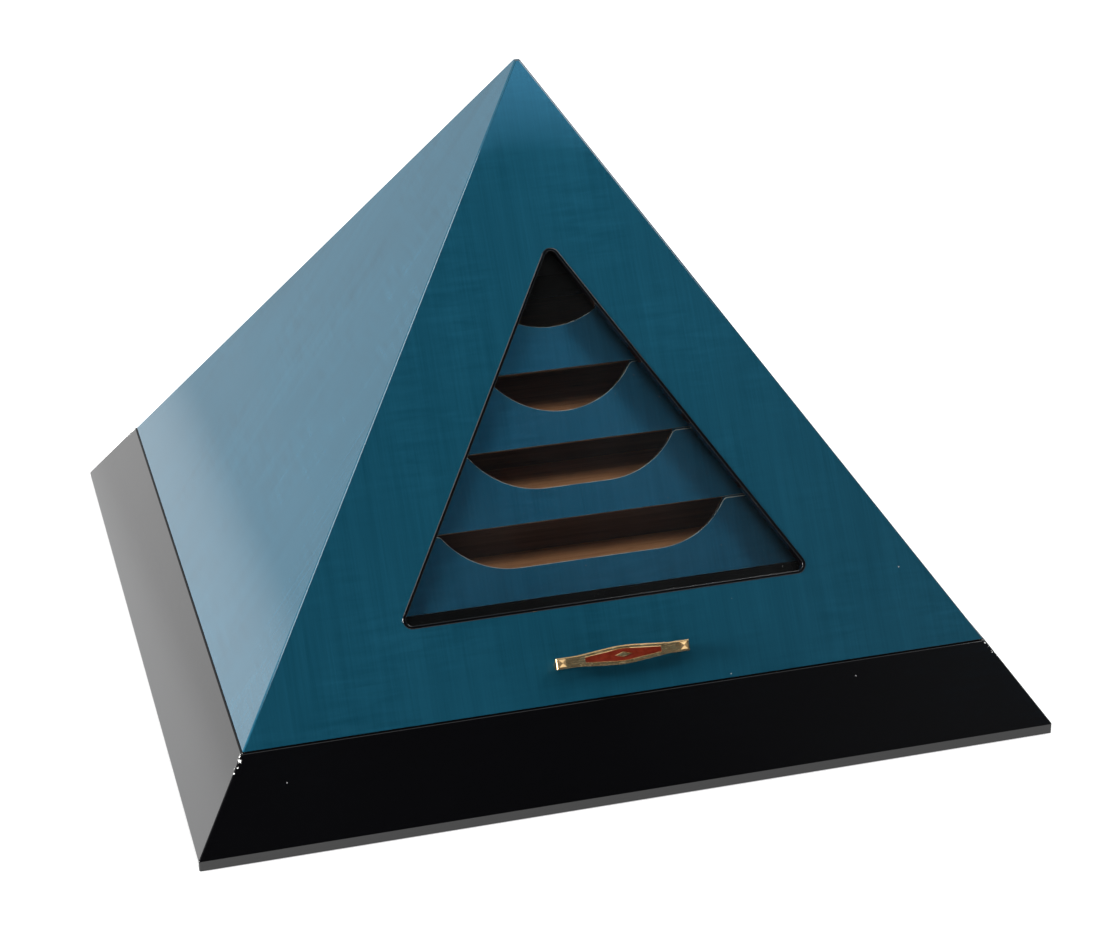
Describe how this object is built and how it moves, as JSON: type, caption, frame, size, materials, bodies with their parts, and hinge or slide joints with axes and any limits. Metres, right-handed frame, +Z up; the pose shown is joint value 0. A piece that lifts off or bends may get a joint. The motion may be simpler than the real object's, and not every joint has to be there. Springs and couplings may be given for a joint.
{
  "type": "pyramid cigar cabinet",
  "caption": "Pyramid-shaped cigar cabinet with a hinged lacquered shell, a triangular glazed window and stacked cedar drawers on a black base.",
  "frame": {"origin": "centre of the base's underside, on the surface that the cabinet stands on", "axes": "+Z up, -Y towards the window and the handle, +X to the right as seen from the front"},
  "size_m": [0.45, 0.45, 0.3214],
  "materials": {
    "teal_lacquer": "gloss",
    "drawer_lacquer": "gloss",
    "black_lacquer": "gloss",
    "cedar": "matte",
    "plywood": "matte",
    "felt": "matte",
    "gasket_rubber": "matte",
    "clear_glass": "gloss",
    "gilt_brass": "polished",
    "brass": "satin",
    "red_enamel": "gloss",
    "black_plastic": "matte",
    "foam": "matte"
  },
  "bodies": {
    "base": {"base_felt": "felt", "base_hinge_leaves": "brass", "base_hinge_screws": "brass", "base_rail_back": "black_lacquer", "base_rail_front": "black_lacquer", "base_rail_left": "black_lacquer", "base_rail_right": "black_lacquer", "bottom_board": "plywood", "cabinet_back": "cedar", "cabinet_floor": "cedar", "cabinet_shelf_1": "cedar", "cabinet_shelf_2": "cedar", "cabinet_shelf_3": "cedar", "cabinet_side_left": "cedar", "cabinet_side_right": "cedar", "cabinet_top": "black_lacquer", "deck_board": "black_lacquer", "front_rail": "black_lacquer", "hinge_pins": "brass", "humidifier_case": "black_plastic", "humidifier_foam": "foam", "humidifier_grille": "black_plastic", "rim_gasket": "gasket_rubber"},
    "lid": {"glazing_bead": "black_lacquer", "glazing_brads": "brass", "handle_bar": "gilt_brass", "handle_enamel": "red_enamel", "handle_posts": "gilt_brass", "handle_screws": "brass", "lid_hinge_leaves": "brass", "lid_hinge_screws": "brass", "shell_back_panel": "teal_lacquer", "shell_front_panel": "teal_lacquer", "shell_left_panel": "teal_lacquer", "shell_right_panel": "teal_lacquer", "window_glass": "clear_glass", "window_liner": "black_lacquer"},
    "drawer_1": {"drawer_1_back": "cedar", "drawer_1_bottom": "cedar", "drawer_1_divider": "cedar", "drawer_1_front": "drawer_lacquer", "drawer_1_left_side": "cedar", "drawer_1_right_side": "cedar"},
    "drawer_2": {"drawer_2_back": "cedar", "drawer_2_bottom": "cedar", "drawer_2_divider": "cedar", "drawer_2_front": "drawer_lacquer", "drawer_2_left_side": "cedar", "drawer_2_right_side": "cedar"},
    "drawer_3": {"drawer_3_back": "cedar", "drawer_3_bottom": "cedar", "drawer_3_front": "drawer_lacquer", "drawer_3_left_side": "cedar", "drawer_3_right_side": "cedar"},
    "drawer_4": {"drawer_4_back": "cedar", "drawer_4_bottom": "cedar", "drawer_4_front": "drawer_lacquer", "drawer_4_left_side": "cedar", "drawer_4_right_side": "cedar"}
  },
  "joints": [
    {"name": "lid_hinge", "type": "hinge", "parent": "base", "child": "lid", "pos_m": [0, 0.2006, 0.0461], "axis": [-1, 0, 0], "range_deg": [0, 78]},
    {"name": "drawer_1_slide", "type": "slide", "parent": "base", "child": "drawer_1", "axis": [0, -1, 0], "range_m": [0, 0.15]},
    {"name": "drawer_2_slide", "type": "slide", "parent": "base", "child": "drawer_2", "axis": [0, -1, 0], "range_m": [0, 0.12]},
    {"name": "drawer_3_slide", "type": "slide", "parent": "base", "child": "drawer_3", "axis": [0, -1, 0], "range_m": [0, 0.095]},
    {"name": "drawer_4_slide", "type": "slide", "parent": "base", "child": "drawer_4", "axis": [0, -1, 0], "range_m": [0, 0.065]}
  ],
  "couplings": [
    {"joint": "drawer_1_slide", "follows": "lid_hinge", "m_per_rad": 0.11018},
    {"joint": "drawer_2_slide", "follows": "lid_hinge", "m_per_rad": 0.08814},
    {"joint": "drawer_3_slide", "follows": "lid_hinge", "m_per_rad": 0.06978},
    {"joint": "drawer_4_slide", "follows": "lid_hinge", "m_per_rad": 0.04774}
  ]
}
